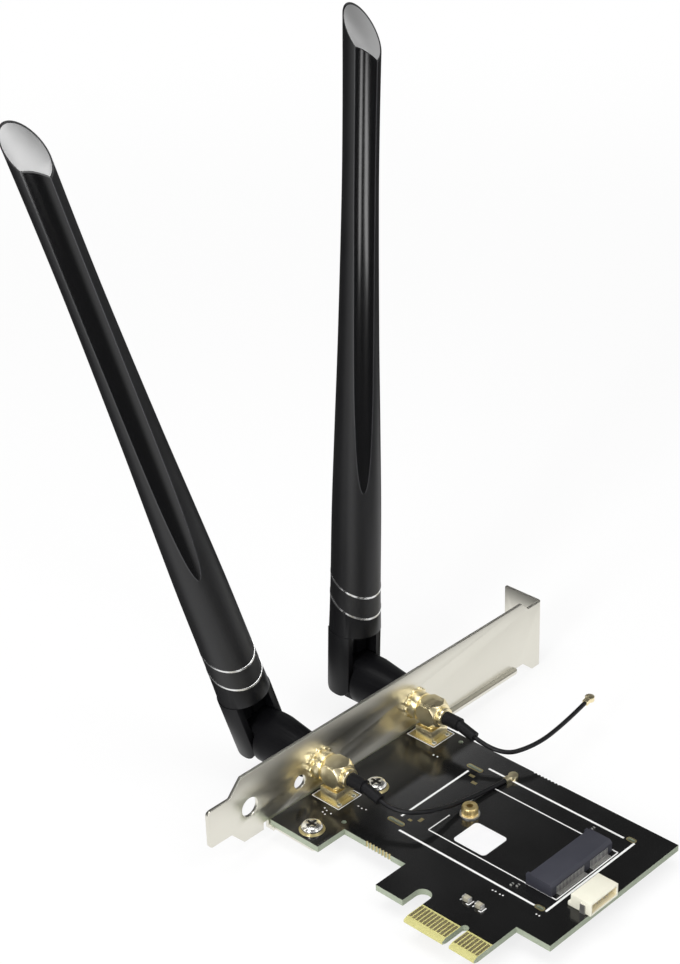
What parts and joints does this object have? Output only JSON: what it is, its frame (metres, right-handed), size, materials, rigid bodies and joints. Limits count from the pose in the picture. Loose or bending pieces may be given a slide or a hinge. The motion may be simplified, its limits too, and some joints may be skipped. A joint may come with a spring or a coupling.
{
  "type": "wireless adapter card",
  "caption": "Slot card with a module socket, a bent metal slot bracket and hinged rod antennas that swivel and tilt on bulkhead jacks.",
  "frame": {"origin": "middle of the key notch at the bottom edge of the contact tongue, on the component face of the board", "axes": "+X from the bracket into the computer, +Y along the bracket towards its screw tab, +Z out of the component face"},
  "size_m": [0.1133, 0.1324, 0.182],
  "materials": {
    "soldermask": "glossy black lacquer",
    "gold": "gold plating",
    "nickel_steel": "nickel plated sheet",
    "screw_steel": "nickel plated",
    "slate_plastic": "dark moulded",
    "tin": "tin plating",
    "brass": "turned",
    "ivory_plastic": "moulded",
    "chip_ceramic": "fired",
    "resistor_body": "lacquered",
    "label_paper": "plain sticker",
    "white_core": "waxy",
    "shrink_sleeve": "matte",
    "cable_jacket": "satin jacket",
    "antenna_black": "fine matte with a glossy flute",
    "knuckle_black": "fine matte",
    "bright_ring": "bright",
    "silver_cap": "silver paint"
  },
  "bodies": {
    "card": {"circuit_board": "soldermask", "edge_contacts": "gold", "plated_pads": "gold", "bracket": "nickel_steel", "board_screws": "screw_steel", "m2_socket": "slate_plastic", "m2_contacts": "tin", "m2_standoff": "brass", "standoff_ring": "tin", "usb_header": "ivory_plastic", "usb_pins": "tin", "chip_capacitors": "chip_ceramic", "chip_resistors": "resistor_body", "chip_terminals": "tin", "label": "label_paper", "lock_washers": "gold", "jack_nuts": "gold", "main_jack": "gold", "main_jack_insulator": "white_core", "main_jack_pin": "gold", "main_ferrule": "gold", "main_sleeve": "shrink_sleeve", "main_pigtail": "cable_jacket", "main_plug": "gold", "main_coupling_nut": "brass", "aux_jack": "gold", "aux_jack_insulator": "white_core", "aux_jack_pin": "gold", "aux_ferrule": "gold", "aux_sleeve": "shrink_sleeve", "aux_pigtail": "cable_jacket", "aux_plug": "gold", "aux_coupling_nut": "brass"},
    "main_base": {"main_knuckle": "knuckle_black"},
    "main_rod": {"main_hinge_pin": "screw_steel", "main_fork": "antenna_black", "main_trim_rings": "bright_ring", "main_collar": "antenna_black", "main_radome": "antenna_black", "main_radiator": "brass", "main_tip_cap": "silver_cap"},
    "aux_base": {"aux_knuckle": "knuckle_black"},
    "aux_rod": {"aux_hinge_pin": "screw_steel", "aux_fork": "antenna_black", "aux_trim_rings": "bright_ring", "aux_collar": "antenna_black", "aux_radome": "antenna_black", "aux_radiator": "brass", "aux_tip_cap": "silver_cap"}
  },
  "joints": [
    {"name": "main_swivel", "type": "hinge", "parent": "card", "child": "main_base", "pos_m": [-0.0799, 0.02241, 0.007], "axis": [1, 0, 0], "range_deg": [-15.8, 164.2]},
    {"name": "main_tilt", "type": "hinge", "parent": "main_base", "child": "main_rod", "pos_m": [-0.0799, 0.02241, 0.007], "axis": [0, 0.9622, 0.2723], "range_deg": [-86.3, 3.7]},
    {"name": "aux_swivel", "type": "hinge", "parent": "card", "child": "aux_base", "pos_m": [-0.0799, 0.05611, 0.007], "axis": [1, 0, 0], "range_deg": [-177.1, 2.9]},
    {"name": "aux_tilt", "type": "hinge", "parent": "aux_base", "child": "aux_rod", "pos_m": [-0.0799, 0.05611, 0.007], "axis": [0, 0.9987, -0.0506], "range_deg": [-90, 0]}
  ]
}
